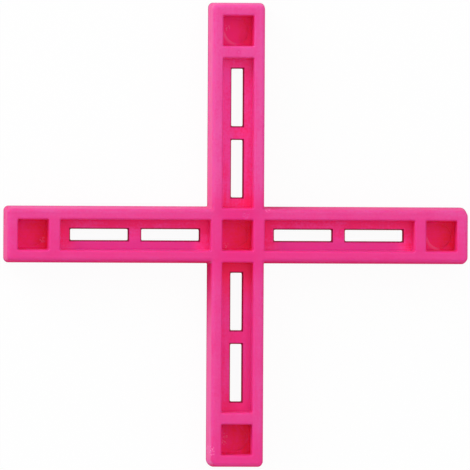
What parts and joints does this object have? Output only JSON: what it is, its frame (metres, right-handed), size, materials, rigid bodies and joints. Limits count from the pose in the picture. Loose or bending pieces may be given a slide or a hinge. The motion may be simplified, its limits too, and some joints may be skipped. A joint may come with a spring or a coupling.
{
  "type": "tile spacer",
  "caption": "Cross-shaped tile spacer with recessed, slotted arms, and a square pocket with a round well at the middle and at each tip.",
  "frame": {"origin": "middle of the cross, on the plane it stands on", "axes": "+Z from the foot to the rim, +X and +Y along two arms, as right and up in the picture"},
  "size_m": [0.0518, 0.0518, 0.0048],
  "materials": {
    "pink_plastic": "satin"
  },
  "bodies": {
    "root": {"tile_spacer": "pink_plastic"}
  },
  "joints": []
}
